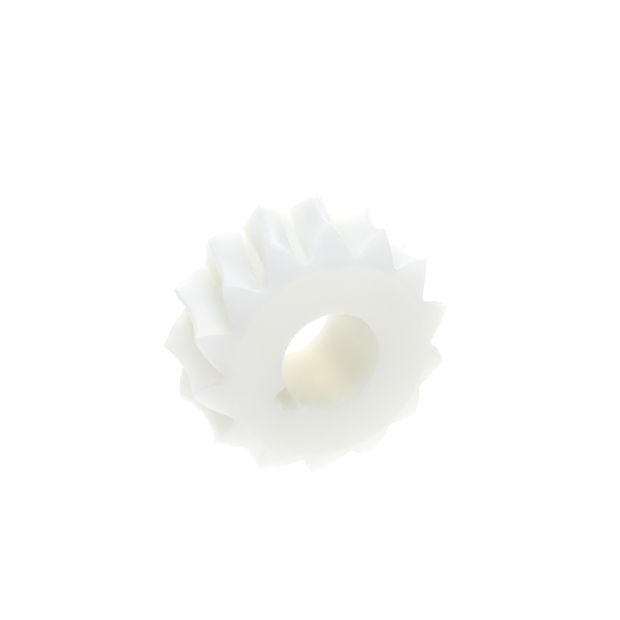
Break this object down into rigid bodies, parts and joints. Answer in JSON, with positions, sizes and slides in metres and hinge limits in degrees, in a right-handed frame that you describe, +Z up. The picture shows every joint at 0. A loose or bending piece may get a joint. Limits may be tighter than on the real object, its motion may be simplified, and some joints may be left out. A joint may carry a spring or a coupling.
{
  "type": "worm wheel",
  "caption": "Throated worm wheel moulded in one piece from natural nylon, with pointed helical teeth, bevelled rims, a through bore and one rectangular keyway.",
  "frame": {"origin": "on the wheel's axis, halfway between the two flat end faces", "axes": "+Y along the wheel's axis, from the front end face to the back one; +Z up, with two teeth straddling the lowest point, so that the wheel stands on them"},
  "size_m": [0.034, 0.0154, 0.0336],
  "materials": {
    "natural_nylon": "moulded natural nylon, milky and slightly translucent, with a satin surface"
  },
  "bodies": {
    "root": {"worm_wheel": "natural_nylon"}
  },
  "joints": []
}
